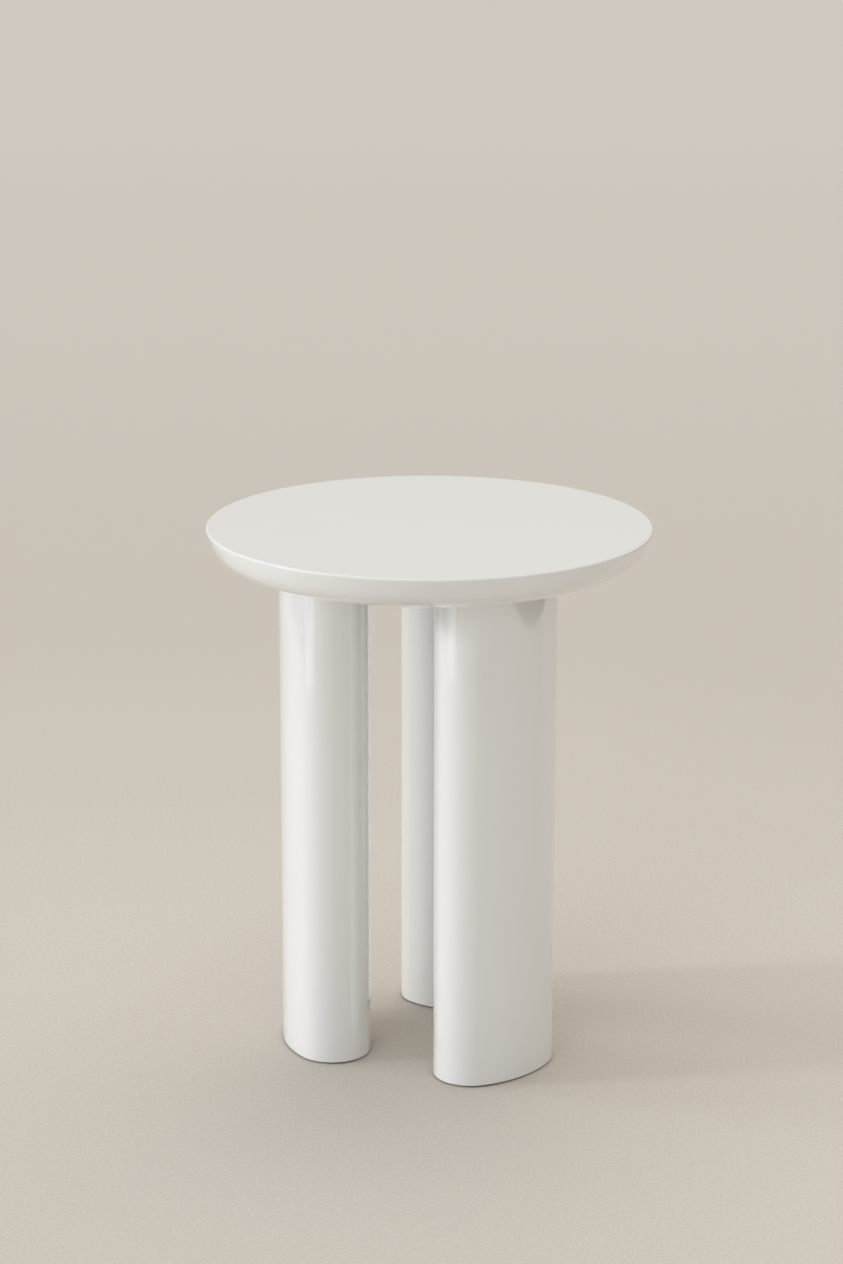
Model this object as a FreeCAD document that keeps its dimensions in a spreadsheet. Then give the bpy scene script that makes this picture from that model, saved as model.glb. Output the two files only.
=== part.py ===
# Side table: a round lacquered top on three upright oval column legs.
# Each leg is a hollow shell with glued blocks inside. A steel tie rod pulls it up against the top,
# and two dowels keep it from turning. Nothing on the table moves.
# Millimetres, +Z up. The origin is on the floor below the middle of the top, and the front faces -Y.

import FreeCAD, Part
import Sketcher

import math
import os

# Driving dimensions: name, value in millimetres or degrees, what it is
SIZES = (
    ("table_height", 550, "floor to table top"),
    ("top_diameter", 450, "widest diameter of the top"),
    ("top_thickness", 35, "table top, face to underside"),
    ("arris_radius", 2, "rounding between the face of the top and its edge"),
    ("side_slope", 13.5, "degrees off upright where the edge leaves the arris"),
    ("side_radius", 70, "large arc down the edge of the top"),
    ("turn_radius", 33, "small arc that rolls the edge under to the flat underside"),
    ("oval_length", 140, "leg section, long axis"),
    ("oval_width", 90, "leg section, short axis"),
    ("oval_side_radius", 115, "leg section, arc along each of the long sides"),
    ("leg_circle_radius", 107, "middle of the top to the middle of a leg"),
    ("first_leg_angle", 68.5, "degrees from +X to the rear leg, seen from above"),
    ("leg_turn", 4.5, "degrees that each oval is turned from square to its radius"),
    ("leg_wall", 12, "wall of a leg shell"),
    ("leg_arris", 1, "rounding of a leg shell's lower edge"),
    ("glue_gap", 0.15, "glue line between a block and the shell around it"),
    ("head_block_thickness", 40, "block glued in the top of a leg"),
    ("rib_thickness", 18, "rib glued half way up a leg"),
    ("base_block_thickness", 40, "block glued near the bottom of a leg"),
    ("foot_reveal", 2, "lacquered shell to floor"),
    ("foot_setback", 3, "outline of a foot plate inside the outline of its leg"),
    ("foot_plug_height", 3, "part of a foot plate that sits in the mouth of the shell"),
    ("foot_plug_fit", 0.25, "gap between that part and the shell"),
    ("rod_diameter", 8, "tie rod"),
    ("rod_chamfer", 0.8, "chamfer on the ends of a tie rod"),
    ("rod_clearance", 0.5, "gap round a tie rod in the blocks and the washer"),
    ("rod_engagement", 17, "length of tie rod inside the threaded insert"),
    ("rod_projection", 3, "end of a tie rod below its nut"),
    ("thread_fit", 0.05, "gap between the rod and a threaded bore"),
    ("insert_diameter", 12, "threaded insert, barrel"),
    ("insert_length", 20, "threaded insert, whole length"),
    ("insert_flange_diameter", 17, "threaded insert, flange"),
    ("insert_flange_thickness", 1.6, "threaded insert, flange"),
    ("insert_fit", 0.1, "gap round a threaded insert in the top"),
    ("drill_end", 2, "blind hole beyond the end of what goes in it"),
    ("washer_diameter", 24, "washer under a tie rod nut"),
    ("washer_thickness", 2, "washer under a tie rod nut"),
    ("nut_width", 13, "tie rod nut across its flats"),
    ("nut_height", 6.5, "tie rod nut"),
    ("nut_corner_slope", 30, "degrees of the chamfer on the corners of a nut"),
    ("recess_clearance", 1.5, "gap round a washer in the recess of a base block"),
    ("rod_cover", 4.5, "end of a tie rod above the mouth of that recess"),
    ("dowel_diameter", 10, "locating dowel"),
    ("dowel_length", 30, "locating dowel, half of it in the top"),
    ("dowel_chamfer", 1, "chamfer on the ends of a dowel"),
    ("dowel_spacing", 64, "middle to middle of a leg's two dowels"),
    ("dowel_fit", 0.05, "gap round a dowel in its holes"),
    ("screw_spacing", 80, "middle to middle of a foot plate's two screws"),
    ("screw_head_diameter", 7, "foot plate screw, countersunk head"),
    ("screw_head_height", 2, "foot plate screw, countersunk head"),
    ("screw_diameter", 3.5, "foot plate screw, shank"),
    ("screw_length", 16, "foot plate screw, whole length"),
    ("screw_sink", 0.5, "head of a foot plate screw above the floor"),
    ("screw_fit", 0.05, "gap round a foot plate screw"),
)

LEGS = ("rear", "left", "front")

# Heights above the floor and diameters that follow from the driving dimensions
UNDERSIDE = "(Sizes.table_height - Sizes.top_thickness)"
BASE_BLOCK_FOOT = "(Sizes.foot_reveal + Sizes.foot_plug_height)"
RIB_FOOT = f"((Sizes.foot_reveal + {UNDERSIDE} - Sizes.rib_thickness) / 2)"
ROD_FOOT = f"({BASE_BLOCK_FOOT} + Sizes.rod_cover)"
NUT_FOOT = f"({ROD_FOOT} + Sizes.rod_projection)"
WASHER_FOOT = f"({NUT_FOOT} + Sizes.nut_height)"
DOWEL_FOOT = f"({UNDERSIDE} - Sizes.dowel_length / 2)"
ROD_BORE = "(Sizes.rod_diameter + 2 * Sizes.rod_clearance)"
THREAD_BORE = "(Sizes.rod_diameter + 2 * Sizes.thread_fit)"
DOWEL_BORE = "(Sizes.dowel_diameter + 2 * Sizes.dowel_fit)"
SCREW_BORE = "(Sizes.screw_diameter + 2 * Sizes.screw_fit)"
SOCKET_BORE = "(Sizes.washer_diameter + 2 * Sizes.recess_clearance)"

# How a sketch numbers the ends and centre of a line or arc, its own origin and its two axes
START = 1
END = 2
CENTRE = 3
ORIGIN = (-1, 1)
ALONG = -1
UPRIGHT = -2


def make_sheet(doc):
    """Writes the driving dimensions into the spreadsheet."""
    sheet = doc.addObject("Spreadsheet::Sheet", "Sizes")
    for row, (name, size, note) in enumerate(SIZES, start=1):
        sheet.set(f"A{row}", name)
        sheet.set(f"B{row}", str(size))
        sheet.setAlias(f"B{row}", name)
        sheet.set(f"C{row}", note)
    doc.recompute()


def set_in_leg(item, placing, leg, height, along="0"):
    """Binds a placement to a leg: its local X runs along the oval, and its zero is at the given height."""
    place = f"((Sizes.first_leg_angle + {leg} * 360 / {len(LEGS)}) * 1 deg)"
    facing = f"({place} + (90 + Sizes.leg_turn) * 1 deg)"
    item.setExpression(f"{placing}.Base.x", f"Sizes.leg_circle_radius * cos{place} + {along} * cos{facing}")
    item.setExpression(f"{placing}.Base.y", f"Sizes.leg_circle_radius * sin{place} + {along} * sin{facing}")
    item.setExpression(f"{placing}.Base.z", height)
    item.setExpression(f"{placing}.Rotation.Angle", facing)


def new_body(doc, label):
    body = doc.addObject("PartDesign::Body", label)
    body.Label = label
    return body


def new_sketch(body, name, height="0", plane="XY_Plane"):
    """Adds a sketch on a plane of the body's own origin, raised to a height."""
    sketch = body.newObject("Sketcher::SketchObject", name)
    origin_plane = [item for item in body.Origin.OriginFeatures if item.Role == plane][0]
    sketch.AttachmentSupport = [(origin_plane, "")]
    sketch.MapMode = "FlatFace"
    if height != "0":
        sketch.setExpression("AttachmentOffset.Base.z", height)
    return sketch


def number_of(sketch, expression):
    """Works an expression out, as a plain number."""
    value = sketch.evalExpression(expression)
    return value.Value if hasattr(value, "Value") else value


def size(sketch, kind, *places_and_expression):
    """Adds a dimension whose value follows an expression."""
    *places, expression = places_and_expression
    number = number_of(sketch, expression)
    if kind == "Angle":
        number = math.radians(number)
    index = sketch.addConstraint(Sketcher.Constraint(kind, *places, number))
    sketch.setExpression(f"Constraints[{index}]", expression)


def point(across, up=0.0):
    return FreeCAD.Vector(across, up, 0.0)


def add_arc(sketch, middle, radius, start, end):
    circle = Part.Circle(middle, FreeCAD.Vector(0, 0, 1), radius)
    return sketch.addGeometry(Part.ArcOfCircle(circle, start, end), False)


def add_circle(sketch, diameter, spacing=None):
    """Adds one circle at the sketch's origin, or a pair of them spaced along its X."""
    radius = number_of(sketch, diameter) / 2
    if spacing is None:
        circle = sketch.addGeometry(Part.Circle(point(0), FreeCAD.Vector(0, 0, 1), radius), False)
        sketch.addConstraint(Sketcher.Constraint("Coincident", circle, CENTRE, *ORIGIN))
        size(sketch, "Diameter", circle, diameter)
        return
    reach = number_of(sketch, spacing) / 2
    pair = [
        sketch.addGeometry(Part.Circle(point(side * reach), FreeCAD.Vector(0, 0, 1), radius), False)
        for side in (-1, 1)
    ]
    sketch.addConstraint(Sketcher.Constraint("Symmetric", pair[0], CENTRE, pair[1], CENTRE, *ORIGIN))
    sketch.addConstraint(Sketcher.Constraint("PointOnObject", pair[1], CENTRE, ALONG))
    sketch.addConstraint(Sketcher.Constraint("Equal", pair[0], pair[1]))
    size(sketch, "DistanceX", pair[0], CENTRE, pair[1], CENTRE, spacing)
    size(sketch, "Diameter", pair[1], diameter)


def add_oval(sketch, inset="0"):
    """Adds the leg section, four tangent arcs, set in from the leg's outline by the inset."""
    length = f"Sizes.oval_length - 2 * {inset}"
    width = f"Sizes.oval_width - 2 * {inset}"
    side_radius = f"Sizes.oval_side_radius - {inset}"
    half_length = number_of(sketch, length) / 2
    half_width = number_of(sketch, width) / 2
    large = number_of(sketch, side_radius)
    drop = large - half_width
    small = (large ** 2 - half_length ** 2 - drop ** 2) / (2 * (large - half_length))
    reach = half_length - small
    joint = math.atan2(drop, reach)
    right = add_arc(sketch, point(reach), small, -joint, joint)
    upper = add_arc(sketch, point(0, -drop), large, joint, math.pi - joint)
    left = add_arc(sketch, point(-reach), small, math.pi - joint, math.pi + joint)
    lower = add_arc(sketch, point(0, drop), large, math.pi + joint, 2 * math.pi - joint)
    for first, second in ((right, upper), (upper, left), (left, lower), (lower, right)):
        sketch.addConstraint(Sketcher.Constraint("Tangent", first, END, second, START))
    sketch.addConstraint(Sketcher.Constraint("Symmetric", left, CENTRE, right, CENTRE, *ORIGIN))
    sketch.addConstraint(Sketcher.Constraint("PointOnObject", right, CENTRE, ALONG))
    sketch.addConstraint(Sketcher.Constraint("Equal", left, right))
    size(sketch, "Radius", upper, side_radius)
    long_axis = sketch.addGeometry(Part.LineSegment(point(-half_length), point(half_length)), True)
    short_axis = sketch.addGeometry(Part.LineSegment(point(0, -half_width), point(0, half_width)), True)
    for line, kind, axis, expression in (
        (long_axis, "DistanceX", ALONG, length),
        (short_axis, "DistanceY", UPRIGHT, width),
    ):
        sketch.addConstraint(Sketcher.Constraint("Symmetric", line, START, line, END, *ORIGIN))
        sketch.addConstraint(Sketcher.Constraint("PointOnObject", line, END, axis))
        size(sketch, kind, line, START, line, END, expression)
    sketch.addConstraint(Sketcher.Constraint("PointOnObject", long_axis, END, right))
    sketch.addConstraint(Sketcher.Constraint("PointOnObject", short_axis, END, upper))
    sketch.addConstraint(Sketcher.Constraint("PointOnObject", short_axis, START, lower))


def add_outline(sketch, corners):
    """Adds a closed outline of straight lines through corners given as expressions, '0' on an axis."""
    places = [point(number_of(sketch, across), number_of(sketch, up)) for across, up in corners]
    first = sketch.GeometryCount
    for index, place in enumerate(places):
        sketch.addGeometry(Part.LineSegment(place, places[(index + 1) % len(places)]), False)
    for index, (across, up) in enumerate(corners):
        before = first + (index - 1) % len(corners)
        line = first + index
        sketch.addConstraint(Sketcher.Constraint("Coincident", before, END, line, START))
        for kind, axis, expression in (("DistanceX", UPRIGHT, across), ("DistanceY", ALONG, up)):
            if expression == "0":
                sketch.addConstraint(Sketcher.Constraint("PointOnObject", line, START, axis))
            else:
                size(sketch, kind, *ORIGIN, line, START, expression)


def pad(body, sketch, length):
    feature = body.newObject("PartDesign::Pad", f"{sketch.Name}Pad")
    feature.Profile = sketch
    feature.setExpression("Length", length)
    return feature


def pocket_up(body, sketch, depth=None):
    """Cuts a sketch upwards from its plane, to a depth or through everything."""
    feature = body.newObject("PartDesign::Pocket", f"{sketch.Name}Pocket")
    feature.Profile = sketch
    feature.Reversed = True
    if depth is None:
        feature.Type = "ThroughAll"
    else:
        feature.setExpression("Length", depth)
    return feature


def turn_on_upright(body, sketch, kind="Revolution"):
    """Revolves a sketch once round its upright axis, as solid or as a groove."""
    feature = body.newObject(f"PartDesign::{kind}", f"{sketch.Name}{kind}")
    feature.Profile = sketch
    feature.ReferenceAxis = (sketch, ["V_Axis"])
    feature.Angle = 360
    return feature


def level_edges(feature, lower_only=False):
    """Names the edges of a feature that lie level, at both its ends or at its lower end."""
    tolerance = 1e-6
    edges = list(enumerate(feature.Shape.Edges, start=1))
    level = [(number, edge) for number, edge in edges if edge.BoundBox.ZLength < tolerance]
    lowest = min(edge.CenterOfMass.z for _, edge in level)
    return [
        f"Edge{number}"
        for number, edge in level
        if not lower_only or edge.CenterOfMass.z < lowest + tolerance
    ]


def round_lower_edges(doc, body, feature, radius):
    doc.recompute()
    rounding = body.newObject("PartDesign::Fillet", f"{feature.Name}Rounding")
    rounding.Base = (feature, level_edges(feature, lower_only=True))
    rounding.setExpression("Radius", radius)
    return rounding


def chamfer_ends(doc, body, feature, width):
    doc.recompute()
    chamfer = body.newObject("PartDesign::Chamfer", f"{feature.Name}Chamfer")
    chamfer.Base = (feature, level_edges(feature))
    chamfer.setExpression("Size", width)
    return chamfer


def make_top_panel(doc):
    """Round top: turned edge profile, with blind holes for inserts and dowels in its underside."""
    body = new_body(doc, "top_panel")
    sketch = new_sketch(body, "TopProfile", plane="XZ_Plane")
    height = number_of(sketch, "Sizes.table_height")
    thickness = number_of(sketch, "Sizes.top_thickness")
    radius = number_of(sketch, "Sizes.top_diameter") / 2
    arris = number_of(sketch, "Sizes.arris_radius")
    side = number_of(sketch, "Sizes.side_radius")
    turn = number_of(sketch, "Sizes.turn_radius")
    slope = math.radians(number_of(sketch, "Sizes.side_slope"))
    rise = thickness - arris - turn + (side - arris) * math.sin(slope)
    bend = math.asin(rise / (side - turn))
    arris_middle = point(radius - arris, height - arris)
    side_middle = arris_middle - point(math.cos(slope), -math.sin(slope)) * (side - arris)
    turn_middle = side_middle + point(math.cos(bend), -math.sin(bend)) * (side - turn)
    underside = height - thickness

    face = sketch.addGeometry(Part.LineSegment(point(0, height), point(radius - arris, height)), False)
    arris_arc = add_arc(sketch, arris_middle, arris, -slope, math.pi / 2)
    side_arc = add_arc(sketch, side_middle, side, -bend, -slope)
    turn_arc = add_arc(sketch, turn_middle, turn, -math.pi / 2, -bend)
    below = sketch.addGeometry(Part.LineSegment(point(turn_middle.x, underside), point(0, underside)), False)
    middle = sketch.addGeometry(Part.LineSegment(point(0, underside), point(0, height)), False)
    sketch.addConstraint(Sketcher.Constraint("Tangent", face, END, arris_arc, END))
    sketch.addConstraint(Sketcher.Constraint("Tangent", arris_arc, START, side_arc, END))
    sketch.addConstraint(Sketcher.Constraint("Tangent", side_arc, START, turn_arc, END))
    sketch.addConstraint(Sketcher.Constraint("Tangent", turn_arc, START, below, START))
    sketch.addConstraint(Sketcher.Constraint("Coincident", below, END, middle, START))
    sketch.addConstraint(Sketcher.Constraint("Coincident", middle, END, face, START))
    sketch.addConstraint(Sketcher.Constraint("PointOnObject", middle, START, UPRIGHT))
    sketch.addConstraint(Sketcher.Constraint("PointOnObject", middle, END, UPRIGHT))
    sketch.addConstraint(Sketcher.Constraint("Horizontal", face))
    sketch.addConstraint(Sketcher.Constraint("Horizontal", below))
    size(sketch, "Radius", arris_arc, "Sizes.arris_radius")
    size(sketch, "Radius", side_arc, "Sizes.side_radius")
    size(sketch, "Radius", turn_arc, "Sizes.turn_radius")
    size(sketch, "DistanceX", *ORIGIN, arris_arc, CENTRE, "Sizes.top_diameter / 2 - Sizes.arris_radius")
    size(sketch, "DistanceY", *ORIGIN, face, START, "Sizes.table_height")
    size(sketch, "DistanceY", middle, START, middle, END, "Sizes.top_thickness")
    size(sketch, "Angle", arris_arc, "(90 + Sizes.side_slope) * 1 deg")
    turn_on_upright(body, sketch)

    holes = (
        ("FlangeSeat", "Sizes.insert_flange_diameter + 2 * Sizes.insert_fit", None, "Sizes.insert_flange_thickness"),
        ("InsertBore", "Sizes.insert_diameter + 2 * Sizes.insert_fit", None, "Sizes.insert_length + Sizes.drill_end"),
        ("DowelBores", DOWEL_BORE, "Sizes.dowel_spacing", "Sizes.dowel_length / 2 + Sizes.drill_end"),
    )
    cuts = []
    for name, diameter, spacing, depth in holes:
        hole_sketch = new_sketch(body, name)
        set_in_leg(hole_sketch, "AttachmentOffset", 0, UNDERSIDE)
        add_circle(hole_sketch, diameter, spacing)
        cuts.append(pocket_up(body, hole_sketch, depth))
    doc.recompute()
    pattern = body.newObject("PartDesign::PolarPattern", "HolesOfEachLeg")
    pattern.Originals = cuts
    pattern.Axis = ([item for item in body.Origin.OriginFeatures if item.Role == "Z_Axis"][0], [""])
    pattern.Angle = 360
    pattern.Occurrences = len(LEGS)
    body.Tip = pattern
    return body


def make_leg_shell(doc, leg):
    """Lacquered oval tube from the foot reveal up to the underside of the top."""
    body = new_body(doc, f"{LEGS[leg]}_leg_shell")
    set_in_leg(body, "Placement", leg, "Sizes.foot_reveal")
    outside = new_sketch(body, "ShellOutside")
    add_oval(outside)
    column = pad(body, outside, f"{UNDERSIDE} - Sizes.foot_reveal")
    round_lower_edges(doc, body, column, "Sizes.leg_arris")
    inside = new_sketch(body, "ShellInside")
    add_oval(inside, "Sizes.leg_wall")
    pocket_up(body, inside)
    return body


def make_glued_block(doc, label, leg, foot, thickness):
    """Oval block that fits inside a leg shell with a glue line all round."""
    body = new_body(doc, label)
    set_in_leg(body, "Placement", leg, foot)
    outline = new_sketch(body, "BlockOutline")
    add_oval(outline, "(Sizes.leg_wall + Sizes.glue_gap)")
    pad(body, outline, thickness)
    rod_hole = new_sketch(body, "RodHole")
    add_circle(rod_hole, ROD_BORE)
    pocket_up(body, rod_hole)
    return body


def make_head_block(doc, leg):
    """Block in the top of a leg, bored for the tie rod and drilled from above for the two dowels."""
    foot = f"{UNDERSIDE} - Sizes.head_block_thickness"
    body = make_glued_block(doc, f"{LEGS[leg]}_head_block", leg, foot, "Sizes.head_block_thickness")
    depth = "(Sizes.dowel_length / 2 + Sizes.drill_end)"
    dowel_holes = new_sketch(body, "DowelHoles", f"Sizes.head_block_thickness - {depth}")
    add_circle(dowel_holes, DOWEL_BORE, "Sizes.dowel_spacing")
    pocket_up(body, dowel_holes)
    return body


def make_rib(doc, leg):
    return make_glued_block(doc, f"{LEGS[leg]}_leg_rib", leg, RIB_FOOT, "Sizes.rib_thickness")


def make_base_block(doc, leg):
    """Block near the floor, with the recess for washer and nut and the pilot holes of the foot plate."""
    body = make_glued_block(
        doc, f"{LEGS[leg]}_base_block", leg, BASE_BLOCK_FOOT, "Sizes.base_block_thickness"
    )
    recess = new_sketch(body, "NutRecess")
    add_circle(recess, SOCKET_BORE)
    pocket_up(body, recess, f"{WASHER_FOOT} + Sizes.washer_thickness - {BASE_BLOCK_FOOT}")
    pilots = new_sketch(body, "PilotHoles")
    add_circle(pilots, SCREW_BORE, "Sizes.screw_spacing")
    pocket_up(body, pilots, f"Sizes.screw_sink + Sizes.screw_length + Sizes.drill_end - {BASE_BLOCK_FOOT}")
    return body


def make_tie_rod(doc, leg):
    """Steel rod from below the nut up into the threaded insert of the top."""
    body = new_body(doc, f"{LEGS[leg]}_tie_rod")
    set_in_leg(body, "Placement", leg, ROD_FOOT)
    section = new_sketch(body, "RodSection")
    add_circle(section, "Sizes.rod_diameter")
    rod = pad(body, section, f"{UNDERSIDE} + Sizes.rod_engagement - {ROD_FOOT}")
    chamfer_ends(doc, body, rod, "Sizes.rod_chamfer")
    return body


def make_foot_plate(doc, leg):
    """Dark plate on the floor, stepped to sit in the mouth of the shell, where it covers the nut recess."""
    body = new_body(doc, f"{LEGS[leg]}_foot_plate")
    set_in_leg(body, "Placement", leg, "0")
    tread = new_sketch(body, "Tread")
    add_oval(tread, "Sizes.foot_setback")
    pad(body, tread, "Sizes.foot_reveal")
    plug = new_sketch(body, "Plug", "Sizes.foot_reveal")
    add_oval(plug, "(Sizes.leg_wall + Sizes.foot_plug_fit)")
    pad(body, plug, "Sizes.foot_plug_height")
    shanks = new_sketch(body, "ShankHoles")
    add_circle(shanks, SCREW_BORE, "Sizes.screw_spacing")
    pocket_up(body, shanks)
    heads = new_sketch(body, "HeadHoles")
    add_circle(heads, "Sizes.screw_head_diameter + 2 * Sizes.screw_fit", "Sizes.screw_spacing")
    pocket_up(body, heads, "Sizes.screw_sink")
    for side in (-1, 1):
        seat = body.newObject("PartDesign::SubtractiveCone", f"HeadSeat{side + 2}")
        seat.setExpression("Radius1", "Sizes.screw_head_diameter / 2 + Sizes.screw_fit")
        seat.setExpression("Radius2", "Sizes.screw_diameter / 2 + Sizes.screw_fit")
        seat.setExpression("Height", "Sizes.screw_head_height")
        seat.setExpression("AttachmentOffset.Base.x", f"{side} * Sizes.screw_spacing / 2")
        seat.setExpression("AttachmentOffset.Base.z", "Sizes.screw_sink")
        origin_plane = [item for item in body.Origin.OriginFeatures if item.Role == "XY_Plane"][0]
        seat.AttachmentSupport = [(origin_plane, "")]
        seat.MapMode = "FlatFace"
    return body


def make_threaded_insert(doc, leg):
    """Flanged steel insert, flush in the underside of the top."""
    body = new_body(doc, f"threaded_insert_{LEGS[leg]}")
    set_in_leg(body, "Placement", leg, UNDERSIDE)
    section = new_sketch(body, "InsertSection", plane="XZ_Plane")
    bore = f"{THREAD_BORE} / 2"
    flange = "Sizes.insert_flange_diameter / 2"
    barrel = "Sizes.insert_diameter / 2"
    add_outline(section, (
        (bore, "0"),
        (flange, "0"),
        (flange, "Sizes.insert_flange_thickness"),
        (barrel, "Sizes.insert_flange_thickness"),
        (barrel, "Sizes.insert_length"),
        (bore, "Sizes.insert_length"),
    ))
    turn_on_upright(body, section)
    return body


def make_washer(doc, leg):
    body = new_body(doc, f"washer_{LEGS[leg]}")
    set_in_leg(body, "Placement", leg, WASHER_FOOT)
    ring = new_sketch(body, "WasherRing")
    add_circle(ring, "Sizes.washer_diameter")
    add_circle(ring, ROD_BORE)
    pad(body, ring, "Sizes.washer_thickness")
    return body


def make_nut(doc, leg):
    """Hexagon nut with its corners chamfered on both faces."""
    body = new_body(doc, f"nut_{LEGS[leg]}")
    set_in_leg(body, "Placement", leg, NUT_FOOT)
    section = new_sketch(body, "NutSection")
    sides = 6
    flat = "(Sizes.nut_width / 2)"
    corner = f"({flat} / cos({180 / sides} deg))"
    reach = number_of(section, corner)
    corners = [
        point(reach * math.cos(2 * math.pi * k / sides), reach * math.sin(2 * math.pi * k / sides))
        for k in range(sides)
    ]
    lines = [
        section.addGeometry(Part.LineSegment(corners[k], corners[(k + 1) % sides]), False)
        for k in range(sides)
    ]
    guide = section.addGeometry(Part.Circle(point(0), FreeCAD.Vector(0, 0, 1), reach), True)
    section.addConstraint(Sketcher.Constraint("Coincident", guide, CENTRE, *ORIGIN))
    for index, line in enumerate(lines):
        section.addConstraint(Sketcher.Constraint("Coincident", line, END, lines[(index + 1) % sides], START))
        section.addConstraint(Sketcher.Constraint("PointOnObject", line, START, guide))
        if index:
            section.addConstraint(Sketcher.Constraint("Equal", lines[0], line))
    section.addConstraint(Sketcher.Constraint("PointOnObject", lines[0], START, ALONG))
    size(section, "Radius", guide, corner)
    add_circle(section, THREAD_BORE)
    pad(body, section, "Sizes.nut_height")
    rise = f"(({corner} - {flat}) * tan(Sizes.nut_corner_slope * 1 deg))"
    for name, low, high in (
        ("LowerCorners", "0", rise),
        ("UpperCorners", "Sizes.nut_height", f"Sizes.nut_height - {rise}"),
    ):
        corner_sketch = new_sketch(body, name, plane="XZ_Plane")
        add_outline(corner_sketch, ((flat, low), (corner, low), (corner, high)))
        turn_on_upright(body, corner_sketch, "Groove")
    return body


def make_dowel(doc, leg, side):
    """Beech dowel, half in the head block and half in the top."""
    body = new_body(doc, f"dowel_{LEGS[leg]}_{'a' if side < 0 else 'b'}")
    set_in_leg(body, "Placement", leg, DOWEL_FOOT, f"({side} * Sizes.dowel_spacing / 2)")
    section = new_sketch(body, "DowelSection")
    add_circle(section, "Sizes.dowel_diameter")
    peg = pad(body, section, "Sizes.dowel_length")
    chamfer_ends(doc, body, peg, "Sizes.dowel_chamfer")
    return body


def make_foot_screw(doc, leg, side):
    """Countersunk wood screw that holds a foot plate to its base block, head down."""
    body = new_body(doc, f"foot_screw_{LEGS[leg]}_{'a' if side < 0 else 'b'}")
    set_in_leg(body, "Placement", leg, "Sizes.screw_sink", f"({side} * Sizes.screw_spacing / 2)")
    section = new_sketch(body, "ScrewSection", plane="XZ_Plane")
    head = "Sizes.screw_head_diameter / 2"
    shank = "Sizes.screw_diameter / 2"
    add_outline(section, (
        ("0", "0"),
        (head, "0"),
        (shank, "Sizes.screw_head_height"),
        (shank, "Sizes.screw_length - Sizes.screw_diameter"),
        ("0", "Sizes.screw_length"),
    ))
    turn_on_upright(body, section)
    return body


def gather(doc, label, bodies):
    """Puts identical fasteners together as one group of separate solids."""
    group = doc.addObject("Part::Compound", label)
    group.Label = label
    group.Links = bodies
    return group


def check(doc, nodes):
    """Stops if anything failed, if a cut took nothing away or if a sub-part is not a sound solid."""
    for item in doc.Objects:
        if "Invalid" in item.State or "Error" in item.State:
            raise RuntimeError(f"{item.Label} failed: {item.State}")
        if item.TypeId in ("PartDesign::Pocket", "PartDesign::Groove", "PartDesign::SubtractiveCone"):
            if item.Shape.Volume >= item.BaseFeature.Shape.Volume:
                raise RuntimeError(f"{item.Label} cuts nothing")
        if item.TypeId == "Sketcher::SketchObject" and not item.FullyConstrained:
            raise RuntimeError(f"{item.Label} is not fully constrained")
    for node in nodes:
        shape = node.Shape
        if shape.isNull() or not shape.isValid() or not shape.Solids:
            raise RuntimeError(f"{node.Label} has no sound shape")


def build():
    doc = FreeCAD.newDocument("side_table")
    make_sheet(doc)
    nodes = [make_top_panel(doc)]
    legs = range(len(LEGS))
    sides = (-1, 1)
    for leg in legs:
        nodes.append(make_leg_shell(doc, leg))
        nodes.append(make_head_block(doc, leg))
        nodes.append(make_rib(doc, leg))
        nodes.append(make_base_block(doc, leg))
        nodes.append(make_tie_rod(doc, leg))
        nodes.append(make_foot_plate(doc, leg))
    nodes.append(gather(doc, "threaded_inserts", [make_threaded_insert(doc, leg) for leg in legs]))
    nodes.append(gather(doc, "tie_rod_washers", [make_washer(doc, leg) for leg in legs]))
    nodes.append(gather(doc, "tie_rod_nuts", [make_nut(doc, leg) for leg in legs]))
    nodes.append(gather(doc, "locating_dowels", [make_dowel(doc, leg, side) for leg in legs for side in sides]))
    nodes.append(gather(doc, "foot_screws", [make_foot_screw(doc, leg, side) for leg in legs for side in sides]))
    doc.recompute()
    check(doc, nodes)
    os.makedirs("parts", exist_ok=True)
    for node in nodes:
        node.Shape.exportStep(f"parts/{node.Label}.step")
        print(f"{node.Label}: {len(node.Shape.Solids)} solid(s), {node.Shape.Volume / 1000:.1f} cm3")


build()
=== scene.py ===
import math

import bmesh
import bpy
from mathutils import Matrix, Vector


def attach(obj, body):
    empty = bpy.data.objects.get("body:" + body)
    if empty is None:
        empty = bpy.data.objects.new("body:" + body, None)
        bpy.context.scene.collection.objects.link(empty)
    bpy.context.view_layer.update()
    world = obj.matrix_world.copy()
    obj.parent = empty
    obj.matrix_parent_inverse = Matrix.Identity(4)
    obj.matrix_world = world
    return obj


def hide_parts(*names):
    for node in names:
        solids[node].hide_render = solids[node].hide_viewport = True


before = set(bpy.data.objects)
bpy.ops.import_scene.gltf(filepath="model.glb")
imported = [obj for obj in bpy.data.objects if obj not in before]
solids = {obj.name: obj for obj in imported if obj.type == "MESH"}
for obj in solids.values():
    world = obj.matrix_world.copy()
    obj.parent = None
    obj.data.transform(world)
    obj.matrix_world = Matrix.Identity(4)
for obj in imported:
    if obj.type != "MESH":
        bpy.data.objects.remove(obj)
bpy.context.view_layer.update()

UP = (0, 0, 1)
ROUND_THE_EDGE = (0, 1, 0)

# The top, seen as half of its section in the XZ plane
TABLE_HEIGHT = 0.550
UNDERSIDE = 0.515
ARRIS_RADIUS = 0.002
SIDE_RADIUS = 0.070
TURN_RADIUS = 0.033
SIDE_SLOPE = 13.5
FACE_RADIUS = 0.223
FLAT_BAND = 0.0015

# The oval leg section: two end arcs and two side arcs, all tangent
OVAL_HALF_LENGTH = 0.070
OVAL_HALF_WIDTH = 0.045
OVAL_SIDE_RADIUS = 0.115
LEG_WALL = 0.012
LEG_ARRIS = 0.001
FOOT_REVEAL = 0.002

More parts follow.
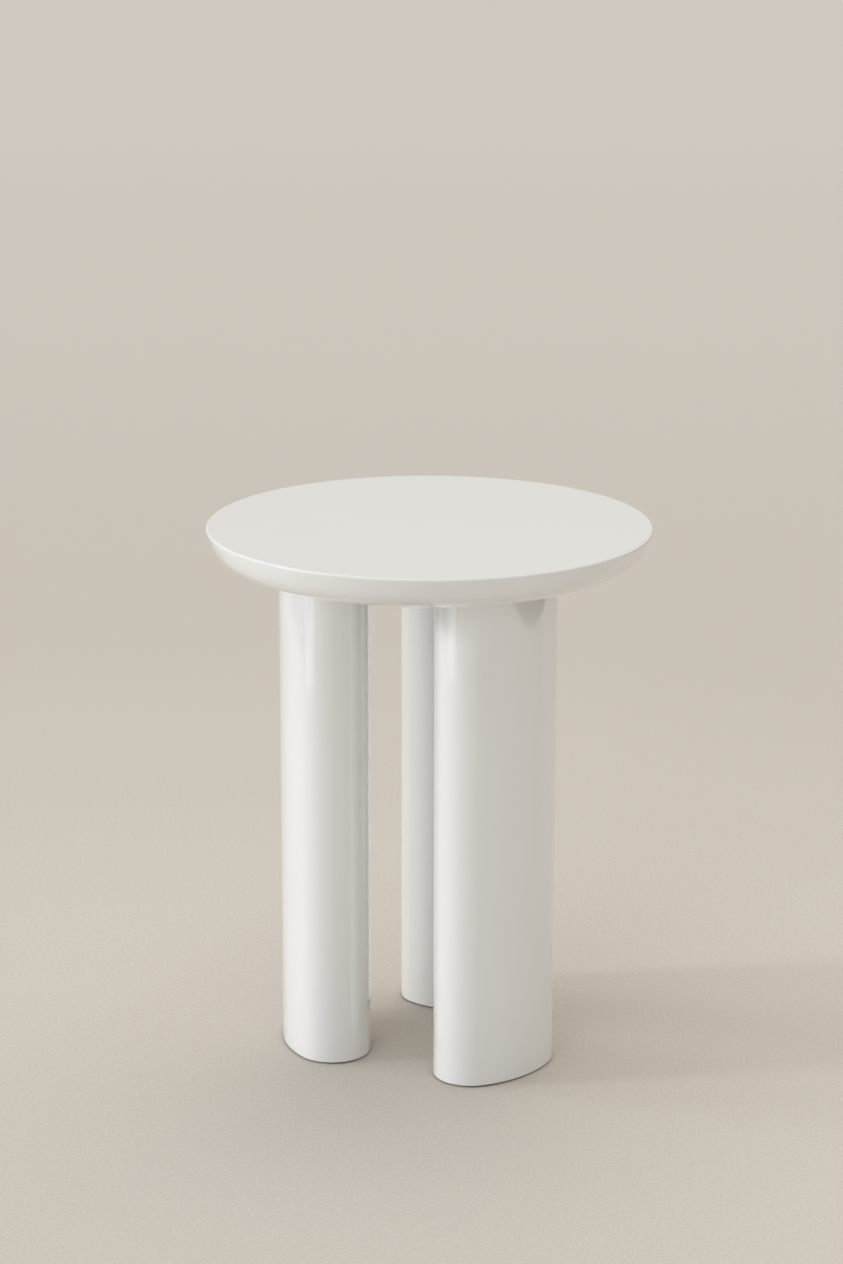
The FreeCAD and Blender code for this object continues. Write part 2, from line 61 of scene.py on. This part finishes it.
LEG_CIRCLE = 0.107
FIRST_LEG = 68.5
LEG_TURN = 4.5
LEG_PLACES = {"rear": 0, "left": 1, "front": 2}

# How finely the arcs are cut
ARRIS_STEPS = 10
SIDE_STEPS = 6
TURN_STEPS = 14
STEPS_ROUND_TOP = 192
OVAL_END_STEPS = 36
OVAL_SIDE_STEPS = 18
FOOT_ARRIS_STEPS = 4
HOLE_SIDES = 32
MERGE_WITHIN = 1e-6
CORNER_ANGLE = 30

# The paper floor: its tones near the table, behind it and far away, and where along Y they blend; the
# tones behind the table and far away are painted shade, darker than near the table
PAPER_DARK = (0.589, 0.544, 0.484)
PAPER_LIGHT = (0.662, 0.611, 0.544)
PAPER_SHADE_BEHIND = (0.577, 0.531, 0.474)
PAPER_SHADE_AWAY = (0.613, 0.574, 0.516)
SHADE_BEHIND_SPAN = (0.3, 1.5)
SHADE_AWAY_SPAN = (2.0, 9.0)
FLOOR_REACH = 40.0

# What the lacquer's reflections find instead: boards beyond the paper's edges along X, and a wall
PAPER_EDGES = (-1.66, 1.84)
LEFT_BOARDS = (0.27, 0.26, 0.25)
RIGHT_BOARDS = (0.02, 0.02, 0.02)
WALL_IN_GLOSS = (0.645, 0.622, 0.565)

# The light of the room and the backdrop that the view meets beyond the floor
BACKDROP = (0.632, 0.583, 0.508)
ROOM_LIGHT = (1.0, 0.93, 0.84)
ROOM_STRENGTH = 0.46

# The panel on the left: where it stands, its height, its strength and its colour
PANEL_ENDS = (-1.50, -0.30), (-1.18, -0.98)
PANEL_HEIGHT = 1.4
PANEL_STRENGTH = 1.3
PANEL_COLOUR = (0.93, 1.0, 1.07)

# The camera: its place, its turns in degrees, and its lens and sensor in millimetres
CAMERA_PLACE = (-0.0011, -3.1004, 1.2911)
CAMERA_PITCH = 15.398
CAMERA_YAW = -0.123
CAMERA_ROLL = 0.117
LENS = 90.171
SENSOR = 36.0

# Blind holes under the top for each leg: how far along the oval, radius, depth
TOP_HOLES = (
    (0.0, 0.0086, 0.0016),
    (0.0, 0.0061, 0.0220),
    (-0.032, 0.00505, 0.0170),
    (0.032, 0.00505, 0.0170),
)


def leg_matrix(place):
    """Takes the oval's own frame, long axis along X, to a leg's place on the floor."""
    round_table = math.radians(FIRST_LEG + 120 * place)
    facing = round_table + math.radians(90 + LEG_TURN)
    middle = Vector((math.cos(round_table), math.sin(round_table), 0)) * LEG_CIRCLE
    return Matrix.Translation(middle) @ Matrix.Rotation(facing, 4, "Z")


def draw_arc(mesh, start, middle, axis, degrees, steps):
    """Draws an arc from a vertex round a middle and returns the vertex at its far end."""
    arc = bmesh.ops.spin(
        mesh,
        geom=[start],
        cent=middle,
        axis=axis,
        angle=math.radians(degrees),
        steps=steps,
        use_merge=False,
        use_duplicate=False,
    )
    return arc["geom_last"][0]


def finish_piece(mesh, name, replaced, material):
    """Makes an object of a mesh, smooth except at its corners, that stands for a solid."""
    bmesh.ops.remove_doubles(mesh, verts=mesh.verts[:], dist=MERGE_WITHIN)
    bmesh.ops.recalc_face_normals(mesh, faces=mesh.faces[:])
    data = bpy.data.meshes.new(name)
    mesh.to_mesh(data)
    mesh.free()
    data.shade_smooth()
    data.set_sharp_from_angle(angle=math.radians(CORNER_ANGLE))
    data.materials.append(material)
    piece = bpy.data.objects.new(name, data)
    bpy.context.scene.collection.objects.link(piece)
    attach(piece, "root")
    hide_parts(replaced)
    return piece


def drill_holes(piece):
    """Cuts the blind holes for the inserts and dowels into the underside of the top."""
    for place in LEG_PLACES.values():
        for along, radius, depth in TOP_HOLES:
            drill = bmesh.new()
            bmesh.ops.create_cone(
                drill,
                cap_ends=True,
                segments=HOLE_SIDES,
                radius1=radius,
                radius2=radius,
                depth=2 * depth,
            )
            bmesh.ops.transform(
                drill,
                matrix=leg_matrix(place) @ Matrix.Translation((along, 0, UNDERSIDE)),
                verts=drill.verts[:],
            )
            bit_mesh = bpy.data.meshes.new("drill")
            drill.to_mesh(bit_mesh)
            drill.free()
            bit = bpy.data.objects.new("drill", bit_mesh)
            bpy.context.scene.collection.objects.link(bit)
            cut = piece.modifiers.new("hole", "BOOLEAN")
            cut.operation = "DIFFERENCE"
            cut.solver = "EXACT"
            cut.object = bit
            bpy.context.view_layer.update()
            cut_piece = piece.evaluated_get(bpy.context.evaluated_depsgraph_get())
            drilled = bpy.data.meshes.new_from_object(cut_piece)
            piece.modifiers.clear()
            piece.data = drilled
            bpy.data.objects.remove(bit)


def make_top(material):
    """Turned top: flat face, thin arris and a sloping edge that rolls under to the flat underside."""
    arris_middle = Vector((FACE_RADIUS, 0, TABLE_HEIGHT - ARRIS_RADIUS))
    slope = math.radians(SIDE_SLOPE)
    outward = Vector((math.cos(slope), 0, -math.sin(slope)))
    side_middle = arris_middle - outward * (SIDE_RADIUS - ARRIS_RADIUS)
    turn_height = UNDERSIDE + TURN_RADIUS
    bend = math.asin((side_middle.z - turn_height) / (SIDE_RADIUS - TURN_RADIUS))
    towards_turn = Vector((math.cos(bend), 0, -math.sin(bend)))
    turn_middle = side_middle + towards_turn * (SIDE_RADIUS - TURN_RADIUS)

    mesh = bmesh.new()
    face_ring = mesh.verts.new((FACE_RADIUS - FLAT_BAND, 0, TABLE_HEIGHT))
    face_end = mesh.verts.new((FACE_RADIUS, 0, TABLE_HEIGHT))
    mesh.edges.new((face_ring, face_end))
    side_turn = math.degrees(bend) - SIDE_SLOPE
    last_turn = 90 - math.degrees(bend)
    arris_end = draw_arc(mesh, face_end, arris_middle, ROUND_THE_EDGE, 90 + SIDE_SLOPE, ARRIS_STEPS)
    side_end = draw_arc(mesh, arris_end, side_middle, ROUND_THE_EDGE, side_turn, SIDE_STEPS)
    turn_end = draw_arc(mesh, side_end, turn_middle, ROUND_THE_EDGE, last_turn, TURN_STEPS)
    under_ring = mesh.verts.new((turn_middle.x - FLAT_BAND, 0, UNDERSIDE))
    mesh.edges.new((turn_end, under_ring))
    bmesh.ops.spin(
        mesh,
        geom=mesh.verts[:] + mesh.edges[:],
        cent=(0, 0, 0),
        axis=UP,
        angle=2 * math.pi,
        steps=STEPS_ROUND_TOP,
        use_merge=True,
        use_duplicate=False,
    )
    bmesh.ops.remove_doubles(mesh, verts=mesh.verts[:], dist=MERGE_WITHIN)
    bmesh.ops.holes_fill(mesh, edges=[edge for edge in mesh.edges if edge.is_boundary], sides=0)
    piece = finish_piece(mesh, "lacquered_top", "top_panel", material)
    drill_holes(piece)


def draw_oval(mesh, height):
    """Draws the closed outline of a leg at a height and returns its edges."""
    drop = OVAL_SIDE_RADIUS - OVAL_HALF_WIDTH
    end_radius = (OVAL_SIDE_RADIUS ** 2 - OVAL_HALF_LENGTH ** 2 - drop ** 2) / (
        2 * (OVAL_SIDE_RADIUS - OVAL_HALF_LENGTH)
    )
    reach = OVAL_HALF_LENGTH - end_radius
    joint = math.atan2(drop, reach)
    end_turn = 2 * math.degrees(joint)
    start = (reach + end_radius * math.cos(joint), -end_radius * math.sin(joint), height)
    first = mesh.verts.new(start)
    vertex = first
    for middle, degrees, steps in (
        ((reach, 0, height), end_turn, OVAL_END_STEPS),
        ((0, -drop, height), 180 - end_turn, OVAL_SIDE_STEPS),
        ((-reach, 0, height), end_turn, OVAL_END_STEPS),
        ((0, drop, height), 180 - end_turn, OVAL_SIDE_STEPS),
    ):
        vertex = draw_arc(mesh, vertex, middle, UP, degrees, steps)
    bmesh.ops.pointmerge(mesh, verts=[first, vertex], merge_co=first.co)
    return mesh.edges[:]


def raise_ring(mesh, faces, rise):
    """Pulls a ring of level faces straight up and returns the faces at its top."""
    raised = bmesh.ops.extrude_face_region(mesh, geom=faces)["geom"]
    bmesh.ops.translate(
        mesh,
        verts=[item for item in raised if isinstance(item, bmesh.types.BMVert)],
        vec=(0, 0, rise),
    )
    return [item for item in raised if isinstance(item, bmesh.types.BMFace)]


def make_leg(leg, material):
    """Hollow oval shell of one leg, with its lower edge rounded."""
    mesh = bmesh.new()
    outline = draw_oval(mesh, FOOT_REVEAL)
    section = bmesh.ops.contextual_create(mesh, geom=outline)["faces"]
    inset = bmesh.ops.inset_individual(
        mesh, faces=section, thickness=LEG_WALL, use_even_offset=True
    )
    bmesh.ops.delete(mesh, geom=section, context="FACES")
    band = raise_ring(mesh, inset["faces"], LEG_ARRIS + FLAT_BAND)
    raise_ring(mesh, band, UNDERSIDE - FOOT_REVEAL - LEG_ARRIS - FLAT_BAND)
    bmesh.ops.delete(mesh, geom=band, context="FACES")
    bmesh.ops.bevel(
        mesh,
        geom=outline,
        offset=LEG_ARRIS,
        offset_type="OFFSET",
        segments=FOOT_ARRIS_STEPS,
        profile=0.5,
        affect="EDGES",
        clamp_overlap=True,
        material=-1,
    )
    bmesh.ops.transform(mesh, matrix=leg_matrix(LEG_PLACES[leg]), verts=mesh.verts[:])
    finish_piece(mesh, f"{leg}_lacquered_shell", f"{leg}_leg_shell", material)


class Finish:
    """A material under construction: its nodes, its surface and the object's own coordinates."""

    def __init__(self, name):
        self.material = bpy.data.materials.new(name)
        self.material.use_nodes = True
        self.tree = self.material.node_tree
        self.tree.nodes.clear()
        self.skin = self.tree.nodes.new("ShaderNodeBsdfPrincipled")
        end = self.tree.nodes.new("ShaderNodeOutputMaterial")
        self.tree.links.new(self.skin.outputs["BSDF"], end.inputs["Surface"])
        self.place = self.tree.nodes.new("ShaderNodeTexCoord").outputs["Object"]

    def axis(self, letter):
        """One of the object's own coordinates, X, Y or Z."""
        split = self.tree.nodes.new("ShaderNodeSeparateXYZ")
        self.tree.links.new(self.place, split.inputs["Vector"])
        return split.outputs[letter]

    def stretched(self, scale):
        """Object coordinates scaled on each axis, so that a pattern runs along the piece."""
        mapping = self.tree.nodes.new("ShaderNodeMapping")
        mapping.inputs["Scale"].default_value = scale
        self.tree.links.new(self.place, mapping.inputs["Vector"])
        return mapping.outputs["Vector"]

    def noise(self, scale, detail=2.0, place=None):
        """A cloudy pattern between nought and one."""
        texture = self.tree.nodes.new("ShaderNodeTexNoise")
        texture.inputs["Scale"].default_value = scale
        texture.inputs["Detail"].default_value = detail
        self.tree.links.new(place or self.place, texture.inputs["Vector"])
        return texture.outputs["Fac"]

    def spread(self, value, low, high, start=0.35, stop=0.65):
        """Maps the middle range of a pattern onto low to high."""
        span = self.tree.nodes.new("ShaderNodeMapRange")
        span.inputs["From Min"].default_value = start
        span.inputs["From Max"].default_value = stop
        span.inputs["To Min"].default_value = low
        span.inputs["To Max"].default_value = high
        self.tree.links.new(value, span.inputs["Value"])
        return span.outputs["Result"]

    def blend(self, factor, first, second):
        """Blends two colours, either of them a plain colour or an output of another blend."""
        mix = self.tree.nodes.new("ShaderNodeMix")
        mix.data_type = "RGBA"
        self.tree.links.new(factor, mix.inputs["Factor"])
        for socket, colour in ((mix.inputs[6], first), (mix.inputs[7], second)):
            if isinstance(colour, tuple):
                socket.default_value = (*colour, 1.0)
            else:
                self.tree.links.new(colour, socket)
        return mix.outputs[2]

    def maths(self, operation, output, number):
        """An output folded at a number or compared with it."""
        step = self.tree.nodes.new("ShaderNodeMath")
        step.operation = operation
        step.inputs[1].default_value = number
        self.tree.links.new(output, step.inputs[0])
        return step.outputs["Value"]

    def colour(self, output):
        self.tree.links.new(output, self.skin.inputs["Base Color"])

    def roughness(self, output):
        self.tree.links.new(output, self.skin.inputs["Roughness"])

    def bump(self, height, depth):
        """Raises the surface by a pattern, with the depth in metres."""
        bump = self.tree.nodes.new("ShaderNodeBump")
        bump.inputs["Distance"].default_value = depth
        self.tree.links.new(height, bump.inputs["Height"])
        self.tree.links.new(bump.outputs["Normal"], self.skin.inputs["Normal"])


def white_lacquer():
    """Sprayed gloss lacquer: nearly even white, with the faint ripple that spraying leaves."""
    finish = Finish("white_lacquer")
    finish.skin.inputs["IOR"].default_value = 1.95
    finish.skin.inputs["Coat Weight"].default_value = 1.0
    finish.skin.inputs["Coat Roughness"].default_value = 0.03
    finish.colour(finish.blend(finish.noise(9.0), (0.828, 0.826, 0.814), (0.850, 0.848, 0.836)))
    finish.roughness(finish.spread(finish.noise(12.0), 0.055, 0.070))
    finish.bump(finish.noise(400.0, 1.0), 0.0000012)
    return finish.material


def raw_plywood():
    """Birch plywood with level plies, so its sides show the stacked layers."""
    finish = Finish("raw_plywood")
    ply_thickness = 0.0014
    through_ply = finish.maths("PINGPONG", finish.axis("Z"), ply_thickness)
    layer = finish.spread(through_ply, 0.0, 1.0, 0.0005, 0.0009)
    along = finish.noise(1.0, 4.0, finish.stretched((40.0, 900.0, 900.0)))
    across = finish.noise(1.0, 4.0, finish.stretched((900.0, 40.0, 900.0)))
    pale = finish.blend(finish.spread(along, 0.0, 1.0), (0.58, 0.42, 0.25), (0.72, 0.56, 0.37))
    dark = finish.blend(finish.spread(across, 0.0, 1.0), (0.36, 0.22, 0.11), (0.52, 0.36, 0.21))
    finish.colour(finish.blend(layer, pale, dark))
    finish.roughness(finish.spread(along, 0.55, 0.75))
    finish.bump(along, 0.00006)
    return finish.material


def raw_beech():
    """Beech dowels: upright grain with short dark flecks."""
    finish = Finish("raw_beech")
    grain = finish.noise(1.0, 5.0, finish.stretched((700.0, 700.0, 25.0)))
    fleck = finish.noise(1.0, 1.0, finish.stretched((2600.0, 2600.0, 300.0)))
    wood = finish.blend(finish.spread(grain, 0.0, 1.0), (0.60, 0.38, 0.22), (0.75, 0.53, 0.34))
    finish.colour(finish.blend(finish.spread(fleck, 0.0, 1.0, 0.66, 0.72), wood, (0.36, 0.19, 0.10)))
    finish.roughness(finish.spread(grain, 0.50, 0.68))
    finish.bump(grain, 0.00004)
    return finish.material


def zinc_steel():
    """Zinc plated steel: a dull silver with cloudy patches and fine drawing marks."""
    finish = Finish("zinc_steel")
    finish.skin.inputs["Metallic"].default_value = 1.0
    cloud = finish.noise(120.0, 3.0)
    marks = finish.noise(1.0, 3.0, finish.stretched((2400.0, 2400.0, 60.0)))
    finish.colour(finish.blend(finish.spread(cloud, 0.0, 1.0), (0.56, 0.57, 0.58), (0.70, 0.70, 0.67)))
    finish.roughness(finish.spread(marks, 0.28, 0.44))
    finish.bump(marks, 0.00001)
    return finish.material


def black_foot():
    """Matte moulded plastic with a fine grain, for the foot plates."""
    finish = Finish("black_foot")
    grain = finish.noise(2200.0, 2.0)
    finish.colour(finish.blend(finish.noise(60.0), (0.026, 0.026, 0.024), (0.036, 0.036, 0.034)))
    finish.roughness(finish.spread(grain, 0.52, 0.68))
    finish.bump(grain, 0.00003)
    return finish.material


def seamless_paper():
    """Plain warm paper floor with a faint woven grain, painted darker behind the table and a little
    darker far away: painted shade.

    The view shows paper everywhere. The gloss finds it between PAPER_EDGES, and boards beyond them.
    """
    finish = Finish("seamless_paper")
    finish.skin.inputs["Specular IOR Level"].default_value = 0.0
    finish.skin.inputs["Roughness"].default_value = 0.9
    thread = finish.noise(1.0, 3.0, finish.stretched((90.0, 420.0, 1.0)))
    pulp = finish.noise(330.0, 3.0)
    paper = finish.blend(finish.spread(pulp, 0.0, 1.0, 0.38, 0.62), PAPER_DARK, PAPER_LIGHT)
    paper = finish.blend(finish.spread(thread, 0.0, 0.35, 0.40, 0.60), paper, PAPER_DARK)
    # Painted shade: the paper darkens behind the table, and a little far away
    paper = finish.blend(finish.spread(finish.axis("Y"), 0.0, 0.9, *SHADE_BEHIND_SPAN), paper, PAPER_SHADE_BEHIND)
    paper = finish.blend(finish.spread(finish.axis("Y"), 0.0, 0.9, *SHADE_AWAY_SPAN), paper, PAPER_SHADE_AWAY)
    on_left = finish.maths("LESS_THAN", finish.axis("X"), PAPER_EDGES[0])
    on_right = finish.maths("GREATER_THAN", finish.axis("X"), PAPER_EDGES[1])
    in_gloss = finish.tree.nodes.new("ShaderNodeLightPath").outputs["Is Glossy Ray"]
    boards = finish.blend(on_right, finish.blend(on_left, paper, LEFT_BOARDS), RIGHT_BOARDS)
    finish.colour(finish.blend(in_gloss, paper, boards))
    return finish.material


lacquer = white_lacquer()
make_top(lacquer)
for leg in LEG_PLACES:
    make_leg(leg, lacquer)

# Everything else keeps its solid and gets the finish of its real material
plywood = raw_plywood()
beech = raw_beech()
steel = zinc_steel()
plastic = black_foot()
inside = {
    "threaded_inserts": steel,
    "tie_rod_washers": steel,
    "tie_rod_nuts": steel,
    "locating_dowels": beech,
    "foot_screws": steel,
}
for leg in LEG_PLACES:
    inside[f"{leg}_head_block"] = plywood
    inside[f"{leg}_leg_rib"] = plywood
    inside[f"{leg}_base_block"] = plywood
    inside[f"{leg}_tie_rod"] = steel
    inside[f"{leg}_foot_plate"] = plastic
for name, material in inside.items():
    solids[name].data.materials.clear()
    solids[name].data.materials.append(material)


def lay_floor():
    """The paper, level and wide enough to end out of sight."""
    mesh = bmesh.new()
    bmesh.ops.create_grid(mesh, x_segments=1, y_segments=1, size=FLOOR_REACH)
    data = bpy.data.meshes.new("studio_floor")
    mesh.to_mesh(data)
    mesh.free()
    data.materials.append(seamless_paper())
    floor = bpy.data.objects.new("studio_floor", data)
    bpy.context.scene.collection.objects.link(floor)


def light_room():
    """Even light from all round. The view meets the backdrop instead, and the gloss meets the wall."""
    world = bpy.data.worlds.new("studio_room")
    bpy.context.scene.world = world
    world.use_nodes = True
    tree = world.node_tree
    light_path = tree.nodes.new("ShaderNodeLightPath")
    shown = tree.nodes["Background"]
    shown.name = "room"
    shown.inputs["Color"].default_value = (*ROOM_LIGHT, 1.0)
    shown.inputs["Strength"].default_value = ROOM_STRENGTH
    for name, tone, rays in (
        ("wall", WALL_IN_GLOSS, "Is Glossy Ray"),
        ("wall_too", WALL_IN_GLOSS, "Is Transmission Ray"),
        ("backdrop", BACKDROP, "Is Camera Ray"),
    ):
        surface = tree.nodes.new("ShaderNodeBackground")
        surface.name = name
        surface.inputs["Color"].default_value = (*tone, 1.0)
        choice = tree.nodes.new("ShaderNodeMixShader")
        tree.links.new(light_path.outputs[rays], choice.inputs["Fac"])
        tree.links.new(shown.outputs[0], choice.inputs[1])
        tree.links.new(surface.outputs["Background"], choice.inputs[2])
        shown = choice
    tree.links.new(shown.outputs[0], tree.nodes["World Output"].inputs["Surface"])


def hang_lamp(name, from_side, above, spread, strength, colour, in_gloss=False):
    """Lamp far away, from_side degrees to the right of the camera and above degrees high.

    The lacquer only mirrors it where in_gloss says so.
    """
    lamp = bpy.data.lights.new(name, "SUN")
    lamp.angle = math.radians(spread)
    lamp.energy = strength
    lamp.color = colour
    holder = bpy.data.objects.new(name, lamp)
    side = math.radians(from_side)
    high = math.radians(above)
    level = math.cos(high)
    towards = Vector((math.sin(side) * level, -math.cos(side) * level, math.sin(high)))
    holder.rotation_mode = "QUATERNION"
    holder.rotation_quaternion = towards.to_track_quat("Z", "Y")
    holder.visible_glossy = in_gloss
    bpy.context.scene.collection.objects.link(holder)


def stand_panel(name):
    """Panel that only the gloss sees, standing on the floor on the left and facing the table."""
    left_end, right_end = (Vector((*end, 0.0)) for end in PANEL_ENDS)
    middle = (left_end + right_end + Vector((0.0, 0.0, PANEL_HEIGHT))) / 2
    back = (right_end - left_end).cross(Vector(UP)).normalized()
    if back.dot(middle) < 0:
        back = -back
    lamp = bpy.data.lights.new(name, "AREA")
    lamp.shape = "RECTANGLE"
    lamp.size = (right_end - left_end).length
    lamp.size_y = PANEL_HEIGHT
    lamp.energy = PANEL_STRENGTH * lamp.size * lamp.size_y
    lamp.color = PANEL_COLOUR
    holder = bpy.data.objects.new(name, lamp)
    holder.rotation_mode = "QUATERNION"
    holder.rotation_quaternion = back.to_track_quat("Z", "Y")
    holder.location = middle
    holder.visible_camera = False
    holder.visible_diffuse = False
    bpy.context.scene.collection.objects.link(holder)


def set_camera():
    """The camera of the reference view."""
    pitch = math.radians(CAMERA_PITCH)
    yaw = math.radians(CAMERA_YAW)
    roll = math.radians(CAMERA_ROLL)
    forward = math.cos(pitch)
    ahead = Vector((math.sin(yaw) * forward, math.cos(yaw) * forward, -math.sin(pitch)))
    level = Vector((math.cos(yaw), -math.sin(yaw), 0.0))
    upright = level.cross(ahead)
    across = math.cos(roll) * level + math.sin(roll) * upright
    above = -math.sin(roll) * level + math.cos(roll) * upright
    lens = bpy.data.cameras.new("camera")
    lens.sensor_width = SENSOR
    lens.lens = LENS
    camera = bpy.data.objects.new("camera", lens)
    camera.matrix_world = Matrix(
        (
            (across.x, above.x, -ahead.x, CAMERA_PLACE[0]),
            (across.y, above.y, -ahead.y, CAMERA_PLACE[1]),
            (across.z, above.z, -ahead.z, CAMERA_PLACE[2]),
            (0.0, 0.0, 0.0, 1.0),
        )
    )
    bpy.context.scene.collection.objects.link(camera)
    bpy.context.scene.camera = camera


lay_floor()
light_room()
stand_panel("left_panel")
# Each lamp: degrees to the right, degrees above the floor, spread, strength and colour
hang_lamp("left_glint", -82.0, 20.0, 16.0, 0.045, (0.96, 1.0, 1.05), in_gloss=True)
hang_lamp("left_window", -82.0, 16.0, 8.0, 0.85, (0.96, 1.0, 1.05))
hang_lamp("left_softbox", -104.0, 9.0, 18.0, 0.90, (0.96, 1.0, 1.05))
hang_lamp("front_fill", -30.0, 8.0, 40.0, 0.68, (0.87, 1.0, 1.16))
hang_lamp("overhead", -60.0, 82.0, 60.0, 0.70, (0.88, 0.99, 1.12))
hang_lamp("back_softbox", 165.0, 55.0, 60.0, 0.66, (1.03, 1.0, 0.94))
hang_lamp("right_rim", 104.0, 25.0, 60.0, 0.34, (0.93, 1.0, 1.08))
set_camera()
bpy.context.scene.view_settings.view_transform = "Standard"
